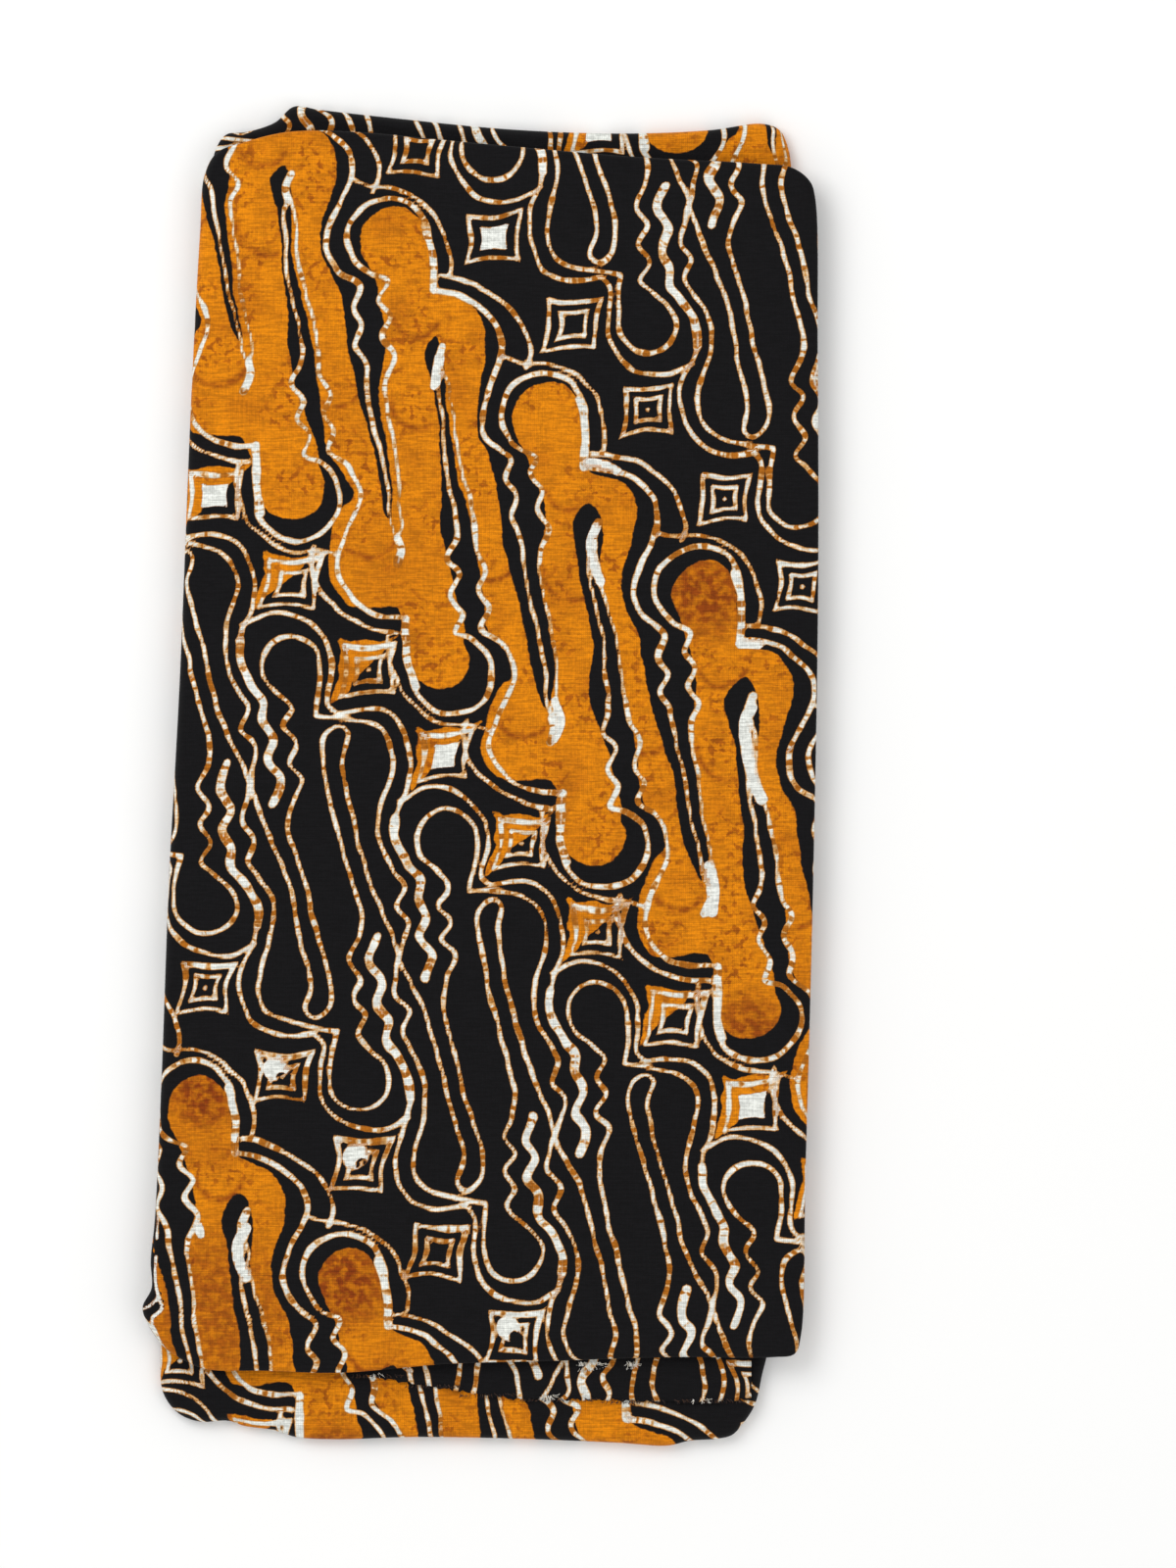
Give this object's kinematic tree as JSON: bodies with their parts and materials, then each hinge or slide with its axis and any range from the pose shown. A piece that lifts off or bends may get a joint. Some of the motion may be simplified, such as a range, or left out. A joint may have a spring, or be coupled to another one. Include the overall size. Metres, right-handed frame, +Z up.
{
  "type": "folded sarong",
  "caption": "Batik cotton sarong in a slanting black, ochre and cream pattern, folded to a flat oblong bundle and lying on its underside.",
  "frame": {"origin": "centre of the bundle's underside, on the surface that it rests on", "axes": "+Y along the bundle, away from the raw end of the cloth; +Z up, out of the stretch that shows; +X to the right seen from above"},
  "size_m": [0.2972, 0.5914, 0.0174],
  "materials": {
    "batik_ochre": "matt dyed cotton, mostly ochre with black and cream",
    "batik_black": "matt dyed cotton, mostly black with cream lines"
  },
  "bodies": {
    "root": {"upper_cloth": "batik_ochre", "bottom_fold": "batik_ochre", "top_fold": "batik_black", "raw_end": "batik_black", "folded_layers": "batik_black"}
  },
  "joints": []
}
